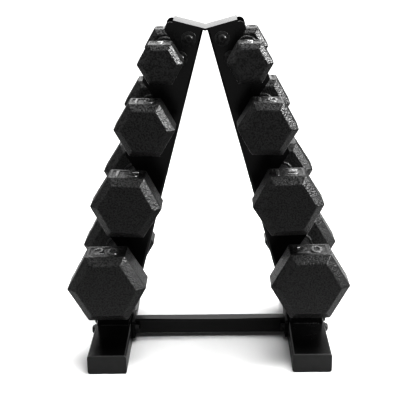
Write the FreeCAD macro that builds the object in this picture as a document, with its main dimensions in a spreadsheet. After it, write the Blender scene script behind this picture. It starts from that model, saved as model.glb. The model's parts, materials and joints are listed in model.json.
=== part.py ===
import FreeCAD, Part
import Sketcher
import os
from FreeCAD import Placement, Rotation, Vector

# An A-frame dumbbell rack, loaded with four pairs of hex dumbbells.
#
# Millimetres. +X runs across the rack, -Y faces the user, +Z is up. The origin is
# on the floor, under the middle of the rack.
#
# Two toothed steel channels lean together on two feet, and a folded bracket joins
# their tops. Each channel has a local frame with its origin at the top of its
# inner face: x runs outward from that face, z runs up along the channel.

WEIGHTS = (5, 10, 15, 20)
SIDES = {"left": -1, "right": 1}
ENDS = {"front": -1, "rear": 1}

SIZES = {
    # the two leaning channels
    "lean": 15,
    "top_height": 506.5,
    "top_gap": 6.4,
    "channel_depth": 54,
    "wall": 2.5,
    "bend_radius": 4,
    "ear_reach": 55.5,
    "tooth_reach": 70,
    "tooth_round": 4,
    "ear_round": 8,
    "lip_round": 2,
    "throat_round": 8,
    "handle_offset": 49,
    "fit_gap": 0.3,
    "slope_start": 54,
    "throat_top": 21.5,
    "mouth_overrun": 10,
    "lip_angle": 25,
    "foot_corner": 183,
    "skirt_start": 425,
    # the bracket over the channels' tops
    "bracket_wall": 3,
    "bracket_reach": 46.5,
    "tab_inner": 6,
    "tab_outer": 31,
    "tab_drop": 62,
    "tab_gap": 0.25,
    # its bolts, measured in the channel's frame
    "upper_bolt_drop": 18,
    "upper_bolt_offset": 17.3,
    "lower_bolt_drop": 49.5,
    "lower_bolt_offset": 22.8,
    # fasteners
    "bolt": 8,
    "bolt_hole": 8.6,
    "bolt_head": 14,
    "bolt_head_rise": 4.4,
    "bolt_head_round": 3.6,
    "bolt_chamfer": 0.8,
    "bolt_socket": 5,
    "bolt_socket_depth": 2.6,
    "short_bolt": 18,
    "long_bolt": 72,
    "washer": 23,
    "washer_thick": 1.6,
    "nut_flats": 13,
    "nut_thick": 6.5,
    "foot_washer": 17,
    # feet
    "foot_place": 157,
    "foot_wide": 60,
    "foot_tall": 30,
    "foot_wall": 2,
    "foot_round": 4,
    "foot_length": 266,
    "cap_thick": 3,
    "cap_round": 1,
    "plug_length": 14,
    "plug_wall": 3,
    "plug_gap": 0.2,
    # crossbar
    "bar_tall": 25,
    "bar_deep": 20,
    "bar_wall": 1.6,
    "bar_round": 2.5,
    "bar_centre": 19.5,
    "plate_wide": 54,
    "plate_tall": 29,
    "plate_thick": 4,
    "plate_round": 4,
    "plate_bolt_place": 19,
    # what all the dumbbells share
    "stub_radius": 9.5,
    "stub_share": 0.45,
    "boss_rise": 4,
    "boss_wall": 5,
    "boss_round": 2.5,
    "panel_depth": 0.9,
    "panel_wide_share": 0.82,
    "panel_long_share": 0.7,
    "panel_round": 2.5,
    "groove_depth": 0.7,
    "groove_long": 2,
    "groove_margin": 9,
    # one dumbbell: drop is its place down the channel
    "drop_5": 53,
    "flats_5": 58,
    "thick_5": 44,
    "bevel_deep_5": 6,
    "bevel_in_5": 8,
    "grip_5": 110,
    "grip_radius_5": 13,
    "drop_10": 148.5,
    "flats_10": 77.5,
    "thick_10": 57,
    "bevel_deep_10": 8,
    "bevel_in_10": 10,
    "grip_10": 115,
    "grip_radius_10": 14,
    "drop_15": 267.5,
    "flats_15": 92,
    "thick_15": 62.5,
    "bevel_deep_15": 10,
    "bevel_in_15": 11,
    "grip_15": 121,
    "grip_radius_15": 15,
    "drop_20": 399,
    "flats_20": 104,
    "thick_20": 66.5,
    "bevel_deep_20": 11,
    "bevel_in_20": 12.5,
    "grip_20": 123,
    "grip_radius_20": 15.5,
    # how far each one has rolled on its handle, in degrees
    "roll_left_5": 0,
    "roll_right_5": 0,
    "roll_left_10": 1.4,
    "roll_right_10": 1.5,
    "roll_left_15": 3,
    "roll_right_15": -2,
    "roll_left_20": -0.5,
    "roll_right_20": -0.5,
}

doc = FreeCAD.newDocument("dumbbell_rack")
sheet = doc.addObject("Spreadsheet::Sheet", "Sizes")


def fill_sheet():
    for row, (alias, number) in enumerate(SIZES.items(), start=1):
        sheet.set(f"A{row}", alias)
        sheet.set(f"B{row}", str(number))
        sheet.setAlias(f"B{row}", alias)
    doc.recompute()


def named(expression):
    """The same expression, with each size's name pointing at its cell."""
    words = []
    word = ""
    for letter in str(expression) + " ":
        if letter.isalnum() or letter == "_":
            word += letter
            continue
        words.append(f"Sizes.{word}" if word in SIZES else word)
        words.append(letter)
        word = ""
    return "".join(words).strip()


def value(expression):
    number = sheet.evalExpression(named(expression))
    return float(getattr(number, "Value", number))


def bind(target, path, expression):
    target.setExpression(path, named(expression))


# ---------------------------------------------------------------- sketches


def new_body(name):
    body = doc.addObject("PartDesign::Body", name)
    body.Label = name
    return body


def new_sketch(body, name, plane, offset="0"):
    """A sketch on one of the body's origin planes, or on a parallel one."""
    sketch = body.newObject("Sketcher::SketchObject", name)
    planes = [f for f in body.Origin.OriginFeatures if f.Role == f"{plane}_Plane"]
    sketch.AttachmentSupport = (planes[0], "")
    sketch.MapMode = "FlatFace"
    if offset != "0":
        bind(sketch, "AttachmentOffset.Base.z", offset)
    return sketch


def constrain(sketch, kind, first, second, number, expression):
    """A horizontal or vertical distance between two sketch points."""
    index = sketch.addConstraint(Sketcher.Constraint(kind, *first, *second, number))
    bind(sketch, f"Constraints[{index}]", expression)


def add_outline(sketch, corners):
    """A closed outline of straight lines. Each corner is a pair of expressions."""
    points = [Vector(value(x), value(y), 0) for x, y in corners]
    count = len(points)
    first = sketch.GeometryCount
    for i in range(count):
        sketch.addGeometry(Part.LineSegment(points[i], points[(i + 1) % count]))
    for i in range(count):
        following = first + (i + 1) % count
        sketch.addConstraint(Sketcher.Constraint("Coincident", first + i, 2, following, 1))
    for i, (x, y) in enumerate(corners):
        constrain(sketch, "DistanceX", (-1, 1), (first + i, 1), points[i].x, x)
        constrain(sketch, "DistanceY", (-1, 1), (first + i, 1), points[i].y, y)


def add_circle(sketch, x, y, radius):
    centre = Vector(value(x), value(y), 0)
    circle = Part.Circle(centre, Vector(0, 0, 1), value(radius))
    index = sketch.addGeometry(circle)
    constrain(sketch, "DistanceX", (-1, 1), (index, 3), centre.x, x)
    constrain(sketch, "DistanceY", (-1, 1), (index, 3), centre.y, y)
    size = sketch.addConstraint(Sketcher.Constraint("Radius", index, value(radius)))
    bind(sketch, f"Constraints[{size}]", radius)


def rectangle(wide, tall, x="0", y="0"):
    """The corners of a rectangle about a centre."""
    return [
        (f"{x} - ({wide}) / 2", f"{y} - ({tall}) / 2"),
        (f"{x} + ({wide}) / 2", f"{y} - ({tall}) / 2"),
        (f"{x} + ({wide}) / 2", f"{y} + ({tall}) / 2"),
        (f"{x} - ({wide}) / 2", f"{y} + ({tall}) / 2"),
    ]


def hexagon(flats):
    """The corners of a hexagon that lies on a flat."""
    half = f"({flats}) / 2"
    side = f"({flats}) / 2 / cos(30)"
    return [
        (f"{side}", "0"),
        (f"{side} / 2", half),
        (f"-{side} / 2", half),
        (f"-{side}", "0"),
        (f"-{side} / 2", f"-{half}"),
        (f"{side} / 2", f"-{half}"),
    ]


# ---------------------------------------------------------------- features


def pad(body, sketch, length, symmetric=False, reverse=False, taper=None):
    feature = body.newObject("PartDesign::Pad", f"{sketch.Name}_pad")
    feature.Profile = sketch
    bind(feature, "Length", length)
    feature.SideType = "Symmetric" if symmetric else "One side"
    feature.Reversed = reverse
    if taper:
        bind(feature, "TaperAngle", taper)
    sketch.Visibility = False
    return feature


def pocket(body, sketch, length=None, reverse=False):
    """A cut, both ways through everything unless a length is given."""
    doc.recompute()
    before = body.Tip.Shape.Volume
    feature = body.newObject("PartDesign::Pocket", f"{sketch.Name}_pocket")
    feature.Profile = sketch
    if length:
        bind(feature, "Length", length)
    else:
        feature.Type = "ThroughAll"
        feature.SideType = "Symmetric"
    feature.Reversed = reverse
    doc.recompute()
    if not feature.Shape.Volume < before:
        raise RuntimeError(f"{feature.Name} cuts nothing")
    return feature


def fillet(body, radius, wanted, curve=Part.Line):
    """Rounds the edges of one kind on the body so far that wanted() picks."""
    doc.recompute()
    base = body.Tip
    if "Invalid" in base.State:
        raise RuntimeError(f"{base.Name} failed")
    edges = []
    for index, edge in enumerate(base.Shape.Edges, start=1):
        if isinstance(edge.Curve, curve) and wanted(*edge_facts(edge)):
            edges.append(f"Edge{index}")
    if not edges:
        raise RuntimeError(f"{body.Label} has no edge to round with {radius}")
    feature = body.newObject("PartDesign::Fillet", f"{body.Name}_{radius}")
    feature.Base = (base, edges)
    bind(feature, "Radius", radius)
    return feature


def edge_facts(edge):
    """The middle of a straight edge and its direction, or a circle's centre and axis."""
    if isinstance(edge.Curve, Part.Circle):
        return edge.Curve.Center, edge.Curve.Axis
    start = edge.Vertexes[0].Point
    end = edge.Vertexes[-1].Point
    return (start + end) / 2, (end - start).normalize()


def along(direction, axis):
    return abs(abs(direction.dot(axis)) - 1) < 1e-4


def near(number, expression):
    return abs(number - value(expression)) < 0.01


X, Y, Z = Vector(1, 0, 0), Vector(0, 1, 0), Vector(0, 0, 1)


def place(body, x="0", y="0", z="0"):
    for axis, expression in zip("xyz", (x, y, z)):
        bind(body, f"Placement.Base.{axis}", expression)


def turn_about_y(body, side, angle):
    """Leans a body outward at its top on that side, by a size in degrees."""
    body.Placement = Placement(Vector(), Rotation(Vector(0, -side, 0), 1))
    bind(body, "Placement.Rotation.Angle", angle)


# ---------------------------------------------------------------- channels

# places in a channel's own frame


def down(weight):
    return f"-drop_{weight}"


def cradle(weight):
    return f"(grip_radius_{weight} + fit_gap)"


def channel_to_world(side, offset, drop):
    """Where a point of a channel's frame is on the rack."""
    x = f"{side} * (top_gap / 2 + ({drop}) * sin(lean) + ({offset}) * cos(lean))"
    z = f"top_height - ({drop}) * cos(lean) + ({offset}) * sin(lean)"
    return x, z


def channel_outline(side):
    """The side view of a channel before its notches: the foot of it is level."""
    foot_drop = "((top_height - foot_tall) / cos(lean))"
    corner_x = "(foot_corner - top_gap / 2)"
    corner_z = "(top_height - foot_tall)"
    offset = f"({corner_x} * cos(lean) - {corner_z} * sin(lean))"
    drop = f"({corner_x} * sin(lean) + {corner_z} * cos(lean))"
    return [
        ("0", "0"),
        ("0", f"-{foot_drop}"),
        (f"{side} * {offset}", f"-{drop}"),
        (f"{side} * tooth_reach", "-skirt_start"),
        (f"{side} * tooth_reach", "-drop_5"),
        (f"{side} * ear_reach", "-drop_5"),
        (f"{side} * ear_reach", "0"),
    ]


def notch_outline(side, weight):
    """A notch: a straight throat, a slope outward above and a lip below."""
    inner = f"(handle_offset - {cradle(weight)})"
    rise = "((slope_start - throat_top) / (tooth_reach - handle_offset + grip_radius_20))"
    outer = "(tooth_reach + mouth_overrun)"
    lip_x = f"(handle_offset + {cradle(weight)} * sin(lip_angle))"
    lip_z = f"(-{cradle(weight)} * cos(lip_angle))"
    here = down(weight)
    return [
        (f"{side} * {inner}", here),
        (f"{side} * {inner}", f"{here} + throat_top"),
        (f"{side} * {outer}", f"{here} + throat_top + ({outer} - {inner}) * {rise}"),
        (f"{side} * {outer}", f"{here} + {lip_z} + ({outer} - {lip_x}) * tan(lip_angle)"),
        (f"{side} * {lip_x}", f"{here} + {lip_z}"),
    ]


def bolt_places():
    return [
        ("upper_bolt_offset", "upper_bolt_drop"),
        ("lower_bolt_offset", "lower_bolt_drop"),
    ]


def upright(name, side):
    body = new_body(name)
    outline = new_sketch(body, f"{name}_outline", "XZ")
    add_outline(outline, channel_outline(side))
    pad(body, outline, "channel_depth", symmetric=True)
    doc.recompute()

    for weight in WEIGHTS:
        mouth = new_sketch(body, f"{name}_mouth_{weight}", "XZ")
        add_outline(mouth, notch_outline(side, weight))
        pocket(body, mouth)
        rest = new_sketch(body, f"{name}_cradle_{weight}", "XZ")
        add_circle(rest, f"{side} * handle_offset", down(weight), cradle(weight))
        pocket(body, rest)

    tip_drops = [value(f"drop_{weight}") for weight in WEIGHTS]
    reach = value("tooth_reach")

    def is_throat(middle, direction):
        at_throat = any(near(-middle.z, drop - value("throat_top")) for drop in tip_drops)
        return along(direction, Y) and at_throat and abs(middle.x) < reach / 2

    def is_ear(middle, direction):
        return along(direction, Y) and near(abs(middle.x), "ear_reach") and near(middle.z, "0")

    def is_lip(middle, direction):
        on_edge = near(abs(middle.x), "tooth_reach")
        return along(direction, Y) and on_edge and is_below_handle(-middle.z)

    def is_tooth(middle, direction):
        on_edge = near(abs(middle.x), "tooth_reach") or near(abs(middle.x), "ear_reach")
        return along(direction, Y) and on_edge and not is_below_handle(-middle.z)

    def is_below_handle(drop):
        lip_reach = value("throat_top")
        return any(abs(drop - tip) < lip_reach for tip in tip_drops)

    fillet(body, "throat_round", is_throat)
    fillet(body, "ear_round", is_ear)
    fillet(body, "lip_round", is_lip)
    fillet(body, "tooth_round", is_tooth)

    inside = new_sketch(body, f"{name}_inside", "XY")
    far = "(2 * tooth_reach)"
    half = "(channel_depth / 2 - wall)"
    add_outline(
        inside,
        [
            (f"{side} * wall", f"-{half}"),
            (f"{side} * {far}", f"-{half}"),
            (f"{side} * {far}", half),
            (f"{side} * wall", half),
        ],
    )
    pocket(body, inside)

    holes = new_sketch(body, f"{name}_holes", "XZ")
    for offset, drop in bolt_places():
        add_circle(holes, f"{side} * {offset}", f"-{drop}", "bolt_hole / 2")
    pocket(body, holes)

    def is_bend(middle, direction):
        return along(direction, Z) and near(middle.x, "0")

    fillet(body, "bend_radius", is_bend)
    turn_about_y(body, side, "lean")
    place(body, f"{side} * top_gap / 2", "0", "top_height")
    return body


# ---------------------------------------------------------------- bracket


def top_bracket():
    """A folded plate on the tops of the channels, with four bolted tabs."""
    body = new_body("top_bracket")
    profile = new_sketch(body, "bracket_profile", "XZ")
    middle = "(top_height - top_gap / 2 * tan(lean))"
    end_x, end_z = channel_to_world(1, "bracket_reach", "0")
    over_x, over_z = channel_to_world(1, "bracket_reach", "-bracket_wall")
    add_outline(
        profile,
        [
            ("0", middle),
            (end_x, end_z),
            (over_x, over_z),
            ("0", f"{middle} + bracket_wall / cos(lean)"),
            (f"-({over_x})", over_z),
            (f"-({end_x})", end_z),
        ],
    )
    pad(body, profile, "channel_depth", symmetric=True)

    for end, sign in ENDS.items():
        inner_face = "(channel_depth / 2 - wall - tab_gap - bracket_wall)"
        offset = inner_face if sign < 0 else f"-({inner_face})"
        tabs = new_sketch(body, f"{end}_tabs", "XZ", offset)
        for side in SIDES.values():
            corners = [
                channel_to_world(side, "tab_inner", "-bracket_wall / 2"),
                channel_to_world(side, "tab_outer", "-bracket_wall / 2"),
                channel_to_world(side, "tab_outer", "tab_drop"),
                channel_to_world(side, "tab_inner", "tab_drop"),
            ]
            add_outline(tabs, corners)
        pad(body, tabs, "bracket_wall", reverse=sign > 0)
    doc.recompute()

    holes = new_sketch(body, "bracket_holes", "XZ")
    for side in SIDES.values():
        for offset, drop in bolt_places():
            x, z = channel_to_world(side, offset, drop)
            add_circle(holes, x, z, "bolt_hole / 2")
    pocket(body, holes)

    def is_tab_corner(middle, direction):
        lowest = value(channel_to_world(1, "tab_outer", "tab_drop")[1])
        return along(direction, Y) and middle.z < lowest + 1

    def is_end(middle, direction):
        return along(direction, Y) and abs(middle.x) > value(end_x) - 1

    fillet(body, "tooth_round", is_tab_corner)
    fillet(body, "cap_round", is_end)
    return body


# ---------------------------------------------------------------- feet


def foot(name, side):
    """A rectangular tube, front to back, drilled across for the bar's bolts."""
    body = new_body(name)
    section = new_sketch(body, f"{name}_section", "XZ")
    add_outline(section, rectangle("foot_wide", "foot_tall", y="foot_tall / 2"))
    pad(body, section, "foot_length", symmetric=True)
    fillet(body, "foot_round", lambda middle, direction: along(direction, Y))
    doc.recompute()
    bore = new_sketch(body, f"{name}_bore", "XZ")
    wide = "foot_wide - 2 * foot_wall"
    tall = "foot_tall - 2 * foot_wall"
    add_outline(bore, rectangle(wide, tall, y="foot_tall / 2"))
    pocket(body, bore)
    holes = new_sketch(body, f"{name}_holes", "YZ")
    for sign in ENDS.values():
        add_circle(holes, f"{sign} * plate_bolt_place", "bar_centre", "bolt_hole / 2")
    pocket(body, holes)
    place(body, f"{side} * foot_place")
    return body


def foot_cap(name, side, end):
    """A plastic cap: a plate over the tube's end and a hollow plug inside it."""
    body = new_body(name)
    face = new_sketch(body, f"{name}_face", "XZ", "foot_length / 2")
    add_outline(face, rectangle("foot_wide", "foot_tall", y="foot_tall / 2"))
    pad(body, face, "cap_thick")
    fillet(body, "foot_round", lambda middle, direction: along(direction, Y))

    def is_rim(middle, direction):
        return near(abs(middle.y), "foot_length / 2 + cap_thick")

    fillet(body, "cap_round", is_rim)
    doc.recompute()
    plug = new_sketch(body, f"{name}_plug", "XZ", "foot_length / 2")
    wide = "(foot_wide - 2 * foot_wall - 2 * plug_gap)"
    tall = "(foot_tall - 2 * foot_wall - 2 * plug_gap)"
    add_outline(plug, rectangle(wide, tall, y="foot_tall / 2"))
    add_outline(plug, rectangle(f"{wide} - 2 * plug_wall", f"{tall} - 2 * plug_wall", y="foot_tall / 2"))
    pad(body, plug, "plug_length", reverse=True)
    body.Placement = Placement(Vector(), Rotation(Z, 0 if end < 0 else 180))
    place(body, f"{side} * foot_place")
    return body


# ---------------------------------------------------------------- crossbar


def crossbar():
    body = new_body("crossbar")
    section = new_sketch(body, "crossbar_section", "YZ")
    add_outline(section, rectangle("bar_deep", "bar_tall", y="bar_centre"))
    length = "2 * (foot_place - foot_wide / 2 - plate_thick)"
    pad(body, section, length, symmetric=True)
    fillet(body, "bar_round", lambda middle, direction: along(direction, X))
    doc.recompute()
    bore = new_sketch(body, "crossbar_bore", "YZ")
    wide = "bar_deep - 2 * bar_wall"
    tall = "bar_tall - 2 * bar_wall"
    add_outline(bore, rectangle(wide, tall, y="bar_centre"))
    pocket(body, bore)
    return body


def end_plate(name, side):
    """The plate on each end of the crossbar, bolted to the foot's inner side."""
    body = new_body(name)
    face = new_sketch(body, f"{name}_face", "YZ")
    add_outline(face, rectangle("plate_wide", "plate_tall", y="bar_centre"))
    pad(body, face, "plate_thick", reverse=side > 0)
    fillet(body, "plate_round", lambda middle, direction: along(direction, X))
    doc.recompute()
    holes = new_sketch(body, f"{name}_holes", "YZ")
    for sign in ENDS.values():
        add_circle(holes, f"{sign} * plate_bolt_place", "bar_centre", "bolt_hole / 2")
    pocket(body, holes)
    place(body, f"{side} * (foot_place - foot_wide / 2)")
    return body


# ---------------------------------------------------------------- fasteners


def bolt_template(name, length):
    """A button-head bolt. Its head is above z = 0 and its shank below."""
    body = new_body(name)
    outline = new_sketch(body, f"{name}_profile", "XZ")
    add_outline(
        outline,
        [
            ("0", f"-{length}"),
            ("bolt / 2 - bolt_chamfer", f"-{length}"),
            ("bolt / 2", f"-{length} + bolt_chamfer"),
            ("bolt / 2", "0"),
            ("bolt_head / 2", "0"),
            ("bolt_head / 2", "bolt_head_rise"),
            ("0", "bolt_head_rise"),
        ],
    )
    turned = body.newObject("PartDesign::Revolution", f"{name}_turned")
    turned.Profile = outline
    turned.ReferenceAxis = (outline, ["V_Axis"])
    turned.Angle = 360

    def is_rim(middle, direction):
        return near(middle.z, "bolt_head_rise")

    fillet(body, "bolt_head_round", is_rim, Part.Circle)
    doc.recompute()
    socket = new_sketch(body, f"{name}_socket", "XY", "bolt_head_rise")
    add_outline(socket, hexagon("bolt_socket"))
    pocket(body, socket, "bolt_socket_depth")
    return body


def washer_template(name, diameter):
    body = new_body(name)
    ring = new_sketch(body, f"{name}_ring", "XY")
    add_circle(ring, "0", "0", f"{diameter} / 2")
    add_circle(ring, "0", "0", "bolt_hole / 2")
    pad(body, ring, "washer_thick")
    return body


def nut_template(name):
    """A plain hex nut. It sits on z = 0 and its bore is the bolt's own size."""
    body = new_body(name)
    outline = new_sketch(body, f"{name}_outline", "XY")
    add_outline(outline, hexagon("nut_flats"))
    add_circle(outline, "0", "0", "bolt / 2")
    pad(body, outline, "nut_thick")
    return body


def fastener_group(label, template, spots):
    """Copies of one fastener at each (point, direction of its z axis)."""
    copies = []
    for point, direction in spots:
        copy = template.Shape.copy()
        copy.Placement = Placement(point, Rotation(Z, direction))
        copies.append(copy)
    group = doc.addObject("Part::Feature", label)
    group.Label = label
    group.Shape = Part.makeCompound(copies)
    return group


def top_spots(distance):
    """Bolt places on both channels' flanges, at a distance from the middle."""
    spots = []
    for side in SIDES.values():
        for end in ENDS.values():
            for offset, drop in bolt_places():
                x, z = channel_to_world(side, offset, drop)
                point = Vector(value(x), end * distance, value(z))
                spots.append((point, Vector(0, end, 0)))
    return spots


def foot_spots(place_expression, outward):
    """Bolt places through both feet; x is given for the right-hand foot."""
    spots = []
    for side in SIDES.values():
        for end in ENDS.values():
            y = end * value("plate_bolt_place")
            point = Vector(side * value(place_expression), y, value("bar_centre"))
            spots.append((point, Vector(side * outward, 0, 0)))
    return spots


def fasteners():
    short = bolt_template("short_bolt_template", "short_bolt")
    long = bolt_template("long_bolt_template", "long_bolt")
    wide_washer = washer_template("wide_washer_template", "washer")
    small_washer = washer_template("small_washer_template", "foot_washer")
    nut = nut_template("nut_template")
    doc.recompute()

    flange = value("channel_depth / 2")
    tab = value("channel_depth / 2 - wall - tab_gap - bracket_wall")
    thick = value("washer_thick")
    outer = "foot_place + foot_wide / 2"
    inner = "foot_place - foot_wide / 2 - plate_thick"
    return [
        fastener_group("top_bolts", short, top_spots(flange + thick)),
        fastener_group("top_washers", wide_washer, top_spots(flange)),
        fastener_group("top_nuts", nut, top_spots(tab - value("nut_thick"))),
        fastener_group("foot_bolts", long, foot_spots(f"{outer} + washer_thick", 1)),
        fastener_group("foot_washers", small_washer, foot_spots(outer, 1)),
        fastener_group("foot_nuts", nut, foot_spots(inner, -1)),
    ]


# ---------------------------------------------------------------- dumbbells


def set_down(body, side_name, weight):
    """Puts a piece of a dumbbell in its notch, rolled about its handle."""
    side = SIDES[side_name]
    x, z = channel_to_world(side, "handle_offset", f"drop_{weight}")
    roll = value(f"roll_{side_name}_{weight}")
    axis = Vector(0, 1 if roll >= 0 else -1, 0)
    body.Placement = Placement(Vector(), Rotation(axis, abs(roll)))
    place(body, x, "0", z)


def head(side_name, weight, end_name):
    """A cast hex head, bevelled at both faces, with a sunk number panel on top."""
    end = ENDS[end_name]
    body = new_body(f"{side_name}_{weight}_{end_name}_head")
    flats = f"flats_{weight}"
    inner_face = f"grip_{weight} / 2"
    full_start = f"({inner_face} + bevel_deep_{weight})"
    full_length = f"(thick_{weight} - 2 * bevel_deep_{weight})"
    taper = f"-atan(bevel_in_{weight} / bevel_deep_{weight})"
    outward = end > 0

    def from_middle(distance):
        return f"{-end} * ({distance})"

    core = new_sketch(body, f"{body.Name}_core", "XZ", from_middle(full_start))
    add_outline(core, hexagon(flats))
    pad(body, core, full_length, reverse=outward)
    near_bevel = new_sketch(body, f"{body.Name}_near", "XZ", from_middle(full_start))
    add_outline(near_bevel, hexagon(flats))
    pad(body, near_bevel, f"bevel_deep_{weight}", reverse=not outward, taper=taper)
    far_start = f"{full_start} + {full_length}"
    far_bevel = new_sketch(body, f"{body.Name}_far", "XZ", from_middle(far_start))
    add_outline(far_bevel, hexagon(flats))
    pad(body, far_bevel, f"bevel_deep_{weight}", reverse=outward, taper=taper)

    boss = new_sketch(body, f"{body.Name}_boss", "XZ", from_middle(inner_face))
    add_circle(boss, "0", "0", f"grip_radius_{weight} + boss_wall")
    pad(body, boss, "boss_rise", reverse=not outward)

    def is_boss_rim(middle, direction):
        return near(abs(middle.y), f"{inner_face} - boss_rise")

    fillet(body, "boss_round", is_boss_rim, Part.Circle)
    doc.recompute()

    seat = new_sketch(body, f"{body.Name}_seat", "XZ", from_middle(f"{inner_face} - boss_rise"))
    add_circle(seat, "0", "0", "stub_radius")
    pocket(body, seat, f"thick_{weight} * stub_share + boss_rise", reverse=not outward)

    panel = new_sketch(body, f"{body.Name}_panel", "XY", f"{flats} / 2")
    wide = f"{flats} / 2 / cos(30) * panel_wide_share"
    long = f"{full_length} * panel_long_share"
    centre = f"{end} * ({inner_face} + thick_{weight} / 2)"
    add_outline(panel, rectangle(wide, long, y=centre))
    pocket(body, panel, "panel_depth")

    def is_panel_corner(middle, direction):
        return along(direction, Z) and near(middle.z, f"{flats} / 2 - panel_depth / 2")

    fillet(body, "panel_round", is_panel_corner)
    set_down(body, side_name, weight)
    return body


def handle(side_name, weight):
    """A turned bar with a groove at each end of its grip, pressed into the heads."""
    body = new_body(f"{side_name}_{weight}_handle")
    profile = new_sketch(body, f"{body.Name}_profile", "XY")
    radius = f"grip_radius_{weight}"
    shoulder = f"(grip_{weight} / 2 - boss_rise)"
    stub = f"(grip_{weight} / 2 + thick_{weight} * stub_share)"
    groove_end = f"({shoulder} - groove_margin)"
    groove_start = f"({groove_end} - groove_long)"
    neck = f"({radius} - groove_depth)"
    half = [
        ("stub_radius", stub),
        ("stub_radius", shoulder),
        (radius, shoulder),
        (radius, groove_end),
        (neck, groove_end),
        (neck, groove_start),
        (radius, groove_start),
    ]
    mirrored = [(x, f"-{y}") for x, y in reversed(half)]
    ends = [("0", stub)] + half + mirrored + [("0", f"-{stub}")]
    add_outline(profile, ends)
    turned = body.newObject("PartDesign::Revolution", f"{body.Name}_turned")
    turned.Profile = profile
    turned.ReferenceAxis = (profile, ["V_Axis"])
    turned.Angle = 360
    set_down(body, side_name, weight)
    return body


# ---------------------------------------------------------------- the rack


def build():
    nodes = []
    for side_name, side in SIDES.items():
        nodes.append(upright(f"{side_name}_upright", side))
        nodes.append(foot(f"{side_name}_foot", side))
        nodes.append(end_plate(f"{side_name}_end_plate", side))
        for end_name, end in ENDS.items():
            nodes.append(foot_cap(f"{side_name}_{end_name}_foot_cap", side, end))
    nodes.append(top_bracket())
    nodes.append(crossbar())
    nodes.extend(fasteners())
    for side_name in SIDES:
        for weight in WEIGHTS:
            nodes.append(handle(side_name, weight))
            for end_name in ENDS:
                nodes.append(head(side_name, weight, end_name))
    return nodes


def check(nodes):
    doc.recompute()
    for item in doc.Objects:
        if "Invalid" in item.State or "Error" in item.State:
            raise RuntimeError(f"{item.Name} failed: {item.State}")
    for node in nodes:
        if node.Shape.isNull() or not node.Shape.isValid():
            raise RuntimeError(f"{node.Label} has no valid shape")


def export(nodes):
    os.makedirs("parts", exist_ok=True)
    for node in nodes:
        node.Shape.exportStep(os.path.join("parts", f"{node.Label}.step"))
        box = node.Shape.BoundBox
        solids = len(node.Shape.Solids)
        size = f"{box.XLength:.1f} x {box.YLength:.1f} x {box.ZLength:.1f}"
        print(f"{node.Label}: {solids} solid, {size} mm, {node.Shape.Volume / 1000:.1f} cm3")


fill_sheet()
parts = build()
check(parts)
export(parts)
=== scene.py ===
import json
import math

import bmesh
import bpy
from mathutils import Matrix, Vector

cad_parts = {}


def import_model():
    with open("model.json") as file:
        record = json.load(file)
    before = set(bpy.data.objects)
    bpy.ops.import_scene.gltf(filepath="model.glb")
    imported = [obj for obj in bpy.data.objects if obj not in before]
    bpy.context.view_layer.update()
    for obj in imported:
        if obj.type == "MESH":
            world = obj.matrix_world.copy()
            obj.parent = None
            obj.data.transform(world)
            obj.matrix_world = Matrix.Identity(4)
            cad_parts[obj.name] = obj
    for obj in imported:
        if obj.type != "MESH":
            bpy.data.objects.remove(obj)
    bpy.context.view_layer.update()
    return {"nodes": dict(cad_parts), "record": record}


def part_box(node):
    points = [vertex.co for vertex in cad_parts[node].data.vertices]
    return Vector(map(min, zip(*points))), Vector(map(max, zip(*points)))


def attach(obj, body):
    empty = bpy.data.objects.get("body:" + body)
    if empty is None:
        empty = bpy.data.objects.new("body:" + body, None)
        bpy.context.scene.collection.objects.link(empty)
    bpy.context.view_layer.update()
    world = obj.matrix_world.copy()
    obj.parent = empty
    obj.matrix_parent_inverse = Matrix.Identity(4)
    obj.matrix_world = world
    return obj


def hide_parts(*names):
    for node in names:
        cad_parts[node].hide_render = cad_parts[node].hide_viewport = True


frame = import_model()

# Looks for a loaded A-frame dumbbell rack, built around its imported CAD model.
#
# Metres, in the CAD frame: +X across the rack, -Y towards the viewer, +Z up. The
# rack's own pieces and the handles keep their CAD shape and get softened edges. The
# dumbbells' heads are rebuilt from their CAD solids with rounded cast edges, and
# get raised numbers on their top flats. Weld beads join the frame.

SIDES = ("left", "right")
ENDS = ("front", "rear")
WEIGHTS = (5, 10, 15, 20)
RACK = "rack"

# lengths in metres
WELD_DISTANCE = 0.00002    # CAD vertices closer than this are one
ON_HULL = 0.00006          # a face this near the hull of a head's points lies on it
CAST_EDGE = 0.0013         # the rounding of a head's outer edges
PANEL_EDGE = 0.0003        # the rounding of a number recess's rim
PANEL_DEPTH = 0.0009
DIGIT_PROUD = 0.0006       # how far the digits stand above the flat round the recess
BEAD_RADIUS = 0.0017
BEAD_STEP = 0.0005         # between a bead's rings
BASE_SLICE = 0.0001        # an upright's points this near its bottom are its base
FLANGE_BEAD_INSET = 0.004  # how far short of its edge's ends each bead stops
WEB_BEAD_INSET = 0.006
BAR_BEAD_INSET = 0.003

# the softened edges of the CAD pieces, by the end of the node's name, in metres
NODE_EDGES = {
    "upright": 0.0005,
    "foot": 0.0003,
    "end_plate": 0.0005,
    "top_bracket": 0.0004,
    "crossbar": 0.0003,
    "cap": 0.0003,
    "bolts": 0.0002,
    "washers": 0.0004,
    "nuts": 0.0003,
    "handle": 0.0006,
}

# a digit's size, in shares of its recess
DIGIT_HEIGHT_SHARE = 0.9
DIGIT_WIDTH_SHARE = 0.4

# in shares of the font's size
DIGIT_THINNER = -0.012
DIGIT_ROUND = 0.034
DIGIT_SPACING = 1.12
DIGIT_MERGE = 0.0001       # outline points closer than this are one

# angles in radians
COPLANAR = math.radians(0.5)
SHARP = math.radians(15)
SOFTENED = math.radians(35)
KNURL_LEAN = math.radians(30)

PAST_THE_BOSS = 1.5        # in grip radii from the handle's axis
FACING_UP = 0.98           # the upward part of a face's normal

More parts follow.
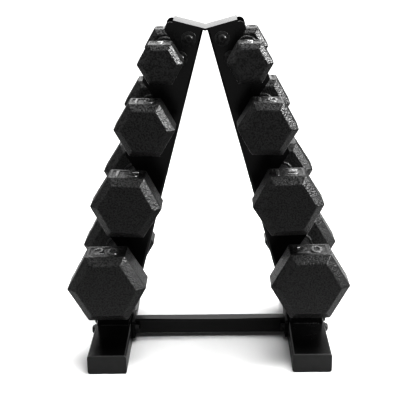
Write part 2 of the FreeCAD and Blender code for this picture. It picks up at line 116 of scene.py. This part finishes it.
BEAD_SIDES = 10
BEAD_LEAST_STEPS = 6
BEAD_END = 0.3             # the share of its radius that a bead starts with
BEAD_RIPPLES = ((0.07, 2800), (0.05, 431))    # share of the radius, radians a metre


# ---------------------------------------------------------------- materials


def grey(shade):
    return (shade, shade, shade, 1)


class Shader:
    """A material with a Principled shader, and short ways to add nodes to it."""

    def __init__(self, name):
        self.material = bpy.data.materials.new(name)
        self.material.use_nodes = True
        self.tree = self.material.node_tree
        self.bsdf = self.tree.nodes["Principled BSDF"]
        self.place = self.tree.nodes.new("ShaderNodeTexCoord").outputs["Object"]

    def node(self, kind, **settings):
        node = self.tree.nodes.new(kind)
        for key, setting in settings.items():
            if key in node.inputs:
                node.inputs[key].default_value = setting
            else:
                setattr(node, key, setting)
        return node

    def link(self, output, target):
        self.tree.links.new(output, target)

    def feed(self, output, socket):
        """Links an output to one of the Principled shader's sockets."""
        self.link(output, self.bsdf.inputs[socket])

    def noise(self, scale, detail=3.0, roughness=0.55):
        node = self.node(
            "ShaderNodeTexNoise", Scale=scale, Detail=detail, Roughness=roughness
        )
        self.link(self.place, node.inputs["Vector"])
        return node.outputs["Fac"]

    def cells(self, scale, smooth):
        node = self.node(
            "ShaderNodeTexVoronoi", feature="SMOOTH_F1", Scale=scale, Smoothness=smooth
        )
        self.link(self.place, node.inputs["Vector"])
        return node.outputs["Distance"]

    def ramp(self, factor, low, high, low_at=0.0, high_at=1.0):
        """Greys from low to high as the factor goes from low_at to high_at."""
        node = self.tree.nodes.new("ShaderNodeValToRGB")
        first, last = node.color_ramp.elements
        first.position, first.color = low_at, grey(low)
        last.position, last.color = high_at, grey(high)
        self.link(factor, node.inputs["Fac"])
        return node.outputs["Color"]

    def mix(self, factor, first, second):
        """The first colour where the factor is 0, and the second where it is 1."""
        node = self.node("ShaderNodeMix", data_type="RGBA")
        ports = {socket.identifier: socket for socket in node.inputs}
        self.link(factor, ports["Factor_Float"])
        self.link(first, ports["A_Color"])
        self.link(second, ports["B_Color"])
        results = {socket.identifier: socket for socket in node.outputs}
        return results["Result_Color"]

    def bump(self, heights):
        """Stacks bumps: each is (height output, strength, depth in metres)."""
        normal = None
        for height, strength, depth in heights:
            node = self.node("ShaderNodeBump", Strength=strength, Distance=depth)
            self.link(height, node.inputs["Height"])
            if normal:
                self.link(normal, node.inputs["Normal"])
            normal = node.outputs["Normal"]
        self.feed(normal, "Normal")


def cast_enamel():
    """Hammered black enamel on cast iron: wormy grains 2 to 3 mm across."""
    made = Shader("hammered_enamel")
    grains = made.cells(400, smooth=0.3)
    worms = made.noise(430, detail=2.0, roughness=0.5)
    patches = made.noise(22)
    made.feed(made.ramp(worms, 0.001, 0.05, 0.4, 0.6), "Base Color")
    made.feed(made.ramp(worms, 0.38, 0.24, 0.3, 0.7), "Roughness")
    made.bump([(patches, 0.2, 0.0012), (grains, 0.25, 0.001), (worms, 0.65, 0.0012)])
    return made.material


def panel_enamel():
    """Rough-cast enamel on the floor of a number's recess, with painted shade: darker
    and far less reflective than the rest of the head.
    """
    made = Shader("panel_enamel")
    sand = made.noise(900, detail=3.0, roughness=0.6)
    # painted shade: a very low specular level and a darker base colour keep the recess
    # floor dark
    made.bsdf.inputs["Specular IOR Level"].default_value = 0.1
    made.feed(made.ramp(sand, 0.003, 0.01, 0.35, 0.65), "Base Color")
    made.feed(made.ramp(sand, 0.6, 0.8, 0.3, 0.7), "Roughness")
    made.bump([(sand, 0.6, 0.0008)])
    return made.material


def rubbed_enamel():
    """The same enamel on the raised numbers, rubbed thin and greyed by handling, with
    painted highlight: a paler base colour for the light the digits catch.
    """
    made = Shader("rubbed_enamel")
    worms = made.noise(520, detail=2.0, roughness=0.5)
    rubs_and_highlight = made.noise(240, detail=4.0, roughness=0.6)
    made.bsdf.inputs["Metallic"].default_value = 0.6
    # painted highlight: the paler grey base colour is partly rub wear and partly the
    # light the digits catch
    made.feed(made.ramp(rubs_and_highlight, 0.09, 0.26, 0.3, 0.6), "Base Color")
    made.feed(made.ramp(worms, 0.22, 0.4, 0.3, 0.7), "Roughness")
    made.bump([(worms, 0.25, 0.0006)])
    return made.material


def powder_coat():
    """Black semi-gloss powder coat with a fine orange peel and faint scuffs."""
    made = Shader("powder_coat")
    peel = made.noise(700, detail=2.0)
    waves = made.noise(60)
    scuffs = made.noise(9, detail=6.0, roughness=0.7)
    made.feed(made.ramp(scuffs, 0.005, 0.011, 0.4, 0.8), "Base Color")
    made.feed(made.ramp(scuffs, 0.15, 0.3, 0.35, 0.75), "Roughness")
    made.bump([(waves, 0.15, 0.0006), (peel, 0.18, 0.0002)])
    return made.material


def moulded_plastic():
    """Black plastic with a fine moulded grain and a slight bloom."""
    made = Shader("moulded_plastic")
    grain = made.noise(1100, detail=2.0)
    bloom = made.noise(40)
    made.feed(made.ramp(bloom, 0.034, 0.048, 0.3, 0.7), "Base Color")
    made.feed(made.ramp(grain, 0.42, 0.6, 0.3, 0.7), "Roughness")
    made.bump([(grain, 0.3, 0.0002)])
    return made.material


def black_oxide():
    """Blackened steel, glossy with oil, worn a little brighter in patches."""
    made = Shader("black_oxide")
    wear = made.noise(160, detail=5.0, roughness=0.65)
    made.bsdf.inputs["Metallic"].default_value = 0.5
    made.feed(made.ramp(wear, 0.02, 0.1, 0.35, 0.8), "Base Color")
    made.feed(made.ramp(wear, 0.22, 0.4, 0.3, 0.7), "Roughness")
    made.bump([(wear, 0.2, 0.0002)])
    return made.material


def grip_enamel():
    """The handles: the heads' enamel, thinner, over a diamond knurl of 1.2 mm pitch."""
    made = Shader("grip_enamel")
    made.feed(made.ramp(made.noise(30), 0.008, 0.016, 0.3, 0.7), "Base Color")
    made.feed(made.ramp(made.noise(800), 0.26, 0.42, 0.3, 0.7), "Roughness")
    heights = []
    for lean in (-KNURL_LEAN, KNURL_LEAN):
        turn = made.node("ShaderNodeMapping")
        turn.inputs["Rotation"].default_value = (lean, 0, lean)
        made.link(made.place, turn.inputs["Vector"])
        wave = made.node(
            "ShaderNodeTexWave", bands_direction="Y", Scale=260.0, Distortion=0.0
        )
        made.link(turn.outputs["Vector"], wave.inputs["Vector"])
        heights.append((wave.outputs["Fac"], 0.5, 0.0003))
    made.bump(heights)
    return made.material


MATERIALS = {
    "head_enamel": cast_enamel(),
    "frame_black": powder_coat(),
    "cap_black": moulded_plastic(),
    "fastener_black": black_oxide(),
    "handle_black": grip_enamel(),
}
RUBBED_AND_HIGHLIT_ENAMEL = rubbed_enamel()
SHADED_PANEL_ENAMEL = panel_enamel()
SLOT_OF = {part["node"]: part["material_slot"] for part in frame["record"]["subparts"]}


def give_material(piece, slot):
    piece.data.materials.clear()
    piece.data.materials.append(MATERIALS[slot])


# ---------------------------------------------------------------- CAD pieces that stay


def soften(node, width):
    """Keeps a CAD piece and rounds its sharp edges, so that they catch light."""
    piece = frame["nodes"][node]
    give_material(piece, SLOT_OF[node])
    weld = piece.modifiers.new("weld", "WELD")
    weld.merge_threshold = WELD_DISTANCE
    bevel = piece.modifiers.new("soft_edges", "BEVEL")
    bevel.width = width
    bevel.segments = 2
    bevel.limit_method = "ANGLE"
    bevel.angle_limit = SOFTENED
    piece.modifiers.new("flat_faces", "WEIGHTED_NORMAL")
    for polygon in piece.data.polygons:
        polygon.use_smooth = True


# ---------------------------------------------------------------- new pieces


def new_piece(name, mesh, body, slot):
    piece = bpy.data.objects.new(name, mesh)
    bpy.context.scene.collection.objects.link(piece)
    give_material(piece, slot)
    for polygon in mesh.polygons:
        polygon.use_smooth = True
    piece.modifiers.new("flat_faces", "WEIGHTED_NORMAL")
    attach(piece, body)
    return piece


def solid_of(node):
    """A CAD node's solid with its flat faces whole again."""
    solid = bmesh.new()
    solid.from_mesh(frame["nodes"][node].data)
    bmesh.ops.remove_doubles(solid, verts=solid.verts, dist=WELD_DISTANCE)
    bmesh.ops.dissolve_limit(
        solid, angle_limit=COPLANAR, verts=solid.verts, edges=solid.edges
    )
    solid.normal_update()
    return solid


def axis_of(side, weight):
    """Where a dumbbell's handle runs, and its radius."""
    low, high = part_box(f"{side}_{weight}_handle")
    return (low + high) / 2, (high.x - low.x) / 2


def is_outer(face, points):
    """Whether a face lies on the outside of the points' hull."""
    here = face.calc_center_median()
    return all((point - here).dot(face.normal) < ON_HULL for point in points)


def is_sharp(edge):
    return len(edge.link_faces) == 2 and edge.calc_face_angle() > SHARP


def round_edges(solid, edges, width, segments):
    bmesh.ops.bevel(
        solid,
        geom=edges,
        offset=width,
        offset_type="OFFSET",
        segments=segments,
        profile=0.5,
        affect="EDGES",
        clamp_overlap=True,
    )


def head(side, weight, end):
    """A cast head with rounded outer edges, and a finely rounded number recess.

    It says where the recess lies, as panel_spot does.
    """
    node = f"{side}_{weight}_{end}_head"
    centre, grip_radius = axis_of(side, weight)
    solid = solid_of(node)

    def from_axis(point):
        return math.hypot(point.x - centre.x, point.z - centre.z)

    past_the_boss = PAST_THE_BOSS * grip_radius
    hexagon = [v.co.copy() for v in solid.verts if from_axis(v.co) > past_the_boss]
    outer = {face for face in solid.faces if is_outer(face, hexagon)}
    tops = [f for f in solid.faces if f not in outer and f.normal.z > FACING_UP]
    spot = panel_spot(max(tops, key=lambda face: face.calc_area()))

    def is_cast(edge):
        return is_sharp(edge) and all(face in outer for face in edge.link_faces)

    round_edges(solid, [e for e in solid.edges if is_cast(e)], CAST_EDGE, 3)
    solid.normal_update()

    def from_spot(face):
        return (face.calc_center_median() - spot["centre"]).length

    panel = min(solid.faces, key=from_spot)
    # painted shade: the recess floor takes the darker, duller panel enamel
    panel.material_index = 1
    rim = {e for e in panel.edges if is_sharp(e)}
    walls = {f for e in rim for f in e.link_faces if f is not panel}
    rim |= {e for f in walls for e in f.edges if is_sharp(e)}
    upper = [e for e in rim if not any(v in panel.verts for v in e.verts)]
    round_edges(solid, upper, PANEL_EDGE, 2)

    mesh = bpy.data.meshes.new(node)
    solid.to_mesh(mesh)
    solid.free()
    piece = new_piece(f"{node}_cast", mesh, f"{side}_dumbbell_{weight}", "head_enamel")
    mesh.materials.append(SHADED_PANEL_ENAMEL)
    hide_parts(node)
    return spot


def panel_spot(panel):
    """A number recess's middle, size and normal, from its floor face."""
    points = [vertex.co for vertex in panel.verts]
    low_y, high_y = min(p.y for p in points), max(p.y for p in points)
    low_x, high_x = min(p.x for p in points), max(p.x for p in points)
    middle = sum(points, Vector()) / len(points)
    middle.y = (low_y + high_y) / 2
    return {
        "centre": middle,
        "normal": panel.normal.copy(),
        "wide": high_x - low_x,
        "long": high_y - low_y,
    }


def number(side, weight, end, spot):
    """Raised round-edged digits in a head's recess, upright for someone at that end."""
    name = f"{side}_{weight}_{end}_number"
    curve = bpy.data.curves.new(name, "FONT")
    curve.body = str(weight)
    curve.offset = DIGIT_THINNER
    curve.bevel_depth = DIGIT_ROUND
    curve.bevel_resolution = 3
    curve.space_character = DIGIT_SPACING
    curve.resolution_u = 6
    text = bpy.data.objects.new(name, curve)
    bpy.context.scene.collection.objects.link(text)
    mesh = bpy.data.meshes.new_from_object(text)
    bpy.data.objects.remove(text)

    digits = bmesh.new()
    digits.from_mesh(mesh)
    bmesh.ops.remove_doubles(digits, verts=digits.verts, dist=DIGIT_MERGE)
    low = Vector(min(v.co[i] for v in digits.verts) for i in range(3))
    high = Vector(max(v.co[i] for v in digits.verts) for i in range(3))
    bmesh.ops.translate(digits, verts=digits.verts, vec=-(low + high) / 2)
    size = high - low
    wide = spot["wide"] * DIGIT_WIDTH_SHARE * len(str(weight))
    tall = spot["long"] * DIGIT_HEIGHT_SHARE
    proud = PANEL_DEPTH + DIGIT_PROUD
    stretch = Vector((wide / size.x, tall / size.y, 2 * proud / size.z))
    bmesh.ops.scale(digits, verts=digits.verts, vec=stretch)

    up = Vector((0, 1 if end == "front" else -1, 0))
    out = spot["normal"]
    across = up.cross(out).normalized()
    turn = Matrix((across, out.cross(across), out)).transposed().to_4x4()
    digits.transform(Matrix.Translation(spot["centre"]) @ turn)
    bmesh.ops.recalc_face_normals(digits, faces=digits.faces)
    digits.to_mesh(mesh)
    digits.free()
    piece = new_piece(name, mesh, f"{side}_dumbbell_{weight}", "head_enamel")
    # painted highlight: the digits take the paler rubbed enamel
    piece.data.materials[0] = RUBBED_AND_HIGHLIT_ENAMEL


# ---------------------------------------------------------------- weld beads


def bead_radius(along, length):
    """A bead's radius at a distance along it: rippled, and thinner at both ends."""
    taper = min(
        1.0,
        along / BEAD_RADIUS + BEAD_END,
        (length - along) / BEAD_RADIUS + BEAD_END,
    )
    ripple = sum((height * math.sin(along * pace) for height, pace in BEAD_RIPPLES), 1)
    return BEAD_RADIUS * taper * ripple


def bead(name, runs):
    """Rippled weld beads along straight runs, each a start and an end point."""
    beads = bmesh.new()
    for start, end in runs:
        start, end = Vector(start), Vector(end)
        length = (end - start).length
        steps = max(BEAD_LEAST_STEPS, round(length / BEAD_STEP))
        turn = (end - start).to_track_quat("Z", "Y").to_matrix()
        rings = []
        for step in range(steps + 1):
            share = step / steps
            radius = bead_radius(share * length, length)
            ring = []
            for i in range(BEAD_SIDES):
                angle = 2 * math.pi * i / BEAD_SIDES
                spoke = Vector((radius * math.cos(angle), radius * math.sin(angle), 0))
                ring.append(beads.verts.new(start.lerp(end, share) + turn @ spoke))
            rings.append(ring)
        for first, second in zip(rings, rings[1:]):
            for i in range(BEAD_SIDES):
                j = (i + 1) % BEAD_SIDES
                beads.faces.new((first[i], first[j], second[j], second[i]))
        beads.faces.new(list(reversed(rings[0])))
        beads.faces.new(rings[-1])
    bmesh.ops.recalc_face_normals(beads, faces=beads.faces)
    mesh = bpy.data.meshes.new(name)
    beads.to_mesh(mesh)
    beads.free()
    new_piece(name, mesh, RACK, "frame_black")


def upright_beads(side):
    """Beads where a channel's two flanges and its web meet the foot's top."""
    node = f"{side}_upright"
    low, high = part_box(node)
    points = [vertex.co for vertex in frame["nodes"][node].data.vertices]
    xs = sorted(abs(point.x) for point in points if point.z < low.z + BASE_SLICE)
    sign = -1 if side == "left" else 1
    inner, outer = sign * xs[0], sign * xs[-1]
    inset = sign * FLANGE_BEAD_INSET
    runs = [
        ((inner + inset, y, low.z), (outer - inset, y, low.z)) for y in (low.y, high.y)
    ]
    front, rear = low.y + WEB_BEAD_INSET, high.y - WEB_BEAD_INSET
    runs.append(((inner, front, low.z), (inner, rear, low.z)))
    bead(f"{side}_upright_weld", runs)


def bar_beads(side):
    """A bead round each end of the crossbar."""
    low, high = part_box("crossbar")
    x = low.x if side == "left" else high.x
    front, rear = low.y + BAR_BEAD_INSET, high.y - BAR_BEAD_INSET
    bottom, top = low.z + BAR_BEAD_INSET, high.z - BAR_BEAD_INSET
    runs = [((x, front, z), (x, rear, z)) for z in (low.z, high.z)]
    runs += [((x, y, bottom), (x, y, top)) for y in (low.y, high.y)]
    bead(f"{side}_bar_weld", runs)


# ---------------------------------------------------------------- the object

for node in frame["nodes"]:
    for ending, width in NODE_EDGES.items():
        if node.endswith(ending):
            soften(node, width)
            break

for side in SIDES:
    upright_beads(side)
    bar_beads(side)
    for weight in WEIGHTS:
        for end in ENDS:
            number(side, weight, end, head(side, weight, end))


# ---------------------------------------------------------------- camera


def camera(place, yaw, pitch, roll, lens_mm):
    """A camera before the rack. Its angles are in degrees, and its pitch is downward."""
    yaw, pitch, roll = math.radians(yaw), math.radians(pitch), math.radians(roll)
    flat = math.cos(pitch)
    forward = Vector((math.sin(yaw) * flat, math.cos(yaw) * flat, -math.sin(pitch)))
    level = Vector((math.cos(yaw), -math.sin(yaw), 0))
    upward = level.cross(forward)
    right = level * math.cos(roll) + upward * math.sin(roll)
    up = upward * math.cos(roll) - level * math.sin(roll)
    data = bpy.data.cameras.new("camera")
    data.lens = lens_mm
    data.sensor_width = 36
    made = bpy.data.objects.new("camera", data)
    made.matrix_world = Matrix((right, up, -forward)).transposed().to_4x4()
    made.location = place
    bpy.context.scene.collection.objects.link(made)
    bpy.context.scene.camera = made


# ---------------------------------------------------------------- studio


def floor(front, back, half_width):
    """A pale sheet under the object, from just before it to well behind it.

    It looks white to the camera, and is darker in reflections.
    """
    mesh = bpy.data.meshes.new("floor")
    left, right = -half_width, half_width
    corners = [(left, front, 0), (right, front, 0), (right, back, 0), (left, back, 0)]
    mesh.from_pydata(corners, [], [(0, 1, 2, 3)])
    plane = bpy.data.objects.new("floor", mesh)
    bpy.context.scene.collection.objects.link(plane)
    made = Shader("studio_floor")
    blotches = made.noise(3)
    sight = made.node("ShaderNodeLightPath").outputs["Is Camera Ray"]
    reflected = made.ramp(blotches, 0.4, 0.44)
    seen = made.ramp(blotches, 0.88, 0.92)
    made.feed(made.mix(sight, reflected, seen), "Base Color")
    made.bsdf.inputs["Roughness"].default_value = 0.8
    made.bsdf.inputs["Specular IOR Level"].default_value = 0.2
    mesh.materials.append(made.material)


def softbox(name, place, target, wide, tall, radiance, role):
    """An area light that looks at a point, given its brightness per area.

    Its role is "sheen" for reflections only, or "fill" for matt light only.
    """
    data = bpy.data.lights.new(name, "AREA")
    data.shape = "RECTANGLE"
    data.size = wide
    data.size_y = tall
    data.energy = radiance * math.pi * wide * tall
    light = bpy.data.objects.new(name, data)
    light.location = place
    aim = Vector(target) - Vector(place)
    light.rotation_euler = aim.to_track_quat("-Z", "Y").to_euler()
    light.visible_camera = False
    light.visible_glossy = role == "sheen"
    light.visible_diffuse = role == "fill"
    bpy.context.scene.collection.objects.link(light)


def world(front, low, back, back_high, above, spread, seen):
    """A pale studio: dim towards the viewer, brightest low down behind the object.

    These are brightnesses: in front, below the horizon, just above it behind the
    object, higher up behind it, and overhead. The matt light is spread times those,
    and the camera sees the brightness "seen" everywhere. Directions are unit
    vectors, so a Z of 0.3 is about 17 degrees above the horizon.
    """
    made = bpy.data.worlds.new("studio")
    made.use_nodes = True
    tree = made.node_tree
    background = tree.nodes["Background"]
    background.inputs["Color"].default_value = grey(1)
    place = tree.nodes.new("ShaderNodeTexCoord")
    split = tree.nodes.new("ShaderNodeSeparateXYZ")
    tree.links.new(place.outputs["Generated"], split.inputs["Vector"])

    def stretch(output, low_at, high_at, low, high):
        node = tree.nodes.new("ShaderNodeMapRange")
        node.interpolation_type = "SMOOTHSTEP"
        node.inputs["From Min"].default_value = low_at
        node.inputs["From Max"].default_value = high_at
        node.inputs["To Min"].default_value = low
        node.inputs["To Max"].default_value = high
        tree.links.new(output, node.inputs["Value"])
        return node.outputs["Result"]

    def calculate(operation, *outputs):
        node = tree.nodes.new("ShaderNodeMath")
        node.operation = operation
        for output, socket in zip(outputs, node.inputs):
            tree.links.new(output, socket)
        return node.outputs[0]

    horizon = stretch(split.outputs["Z"], -0.06, 0.05, low, back)
    higher = stretch(split.outputs["Z"], 0.08, 0.3, 1.0, back_high / back)
    aside = calculate("ABSOLUTE", split.outputs["X"])
    narrow = stretch(aside, 0.1, 0.3, 1.0, 0.35)
    behind = calculate("MULTIPLY", calculate("MULTIPLY", horizon, higher), narrow)
    facing = stretch(split.outputs["Y"], -0.1, 0.45, 0.0, 1.0)
    level = tree.nodes.new("ShaderNodeMix")
    level.inputs["A"].default_value = front
    tree.links.new(facing, level.inputs["Factor"])
    tree.links.new(behind, level.inputs["B"])
    overhead = stretch(split.outputs["Z"], 0.6, 0.9, 0.0, above)
    brighter = calculate("MAXIMUM", level.outputs["Result"], overhead)
    sight = tree.nodes.new("ShaderNodeLightPath")
    softer = stretch(sight.outputs["Is Diffuse Ray"], 0.0, 1.0, 1.0, spread)
    shown = tree.nodes.new("ShaderNodeMix")
    shown.inputs["B"].default_value = seen
    tree.links.new(sight.outputs["Is Camera Ray"], shown.inputs["Factor"])
    tree.links.new(calculate("MULTIPLY", brighter, softer), shown.inputs["A"])
    tree.links.new(shown.outputs["Result"], background.inputs["Strength"])
    bpy.context.scene.world = made


camera(
    place=(0.01955, -1.44571, 0.70779), yaw=-0.79, pitch=18.60, roll=-0.90, lens_mm=82.85
)
floor(front=-0.34, back=1.3, half_width=1.1)
world(front=0.36, low=0.15, back=1.3, back_high=0.88, above=0.5, spread=0.2, seen=1.05)
softbox(
    "key",
    place=(1.72, -0.55, 1.45),
    target=(0, 0, 0.4),
    wide=1.1,
    tall=0.65,
    radiance=29,
    role="sheen",
)
softbox(
    "rim",
    place=(-0.1, 1.0, 2.2),
    target=(0, 0, 0.3),
    wide=1.2,
    tall=0.9,
    radiance=6,
    role="sheen",
)
softbox(
    "overhead",
    place=(0.3, 0.1, 2.2),
    target=(0, 0, 0),
    wide=1.8,
    tall=1.8,
    radiance=11.5,
    role="fill",
)
bpy.context.scene.view_settings.view_transform = "Standard"
bpy.context.scene.view_settings.look = "High Contrast"
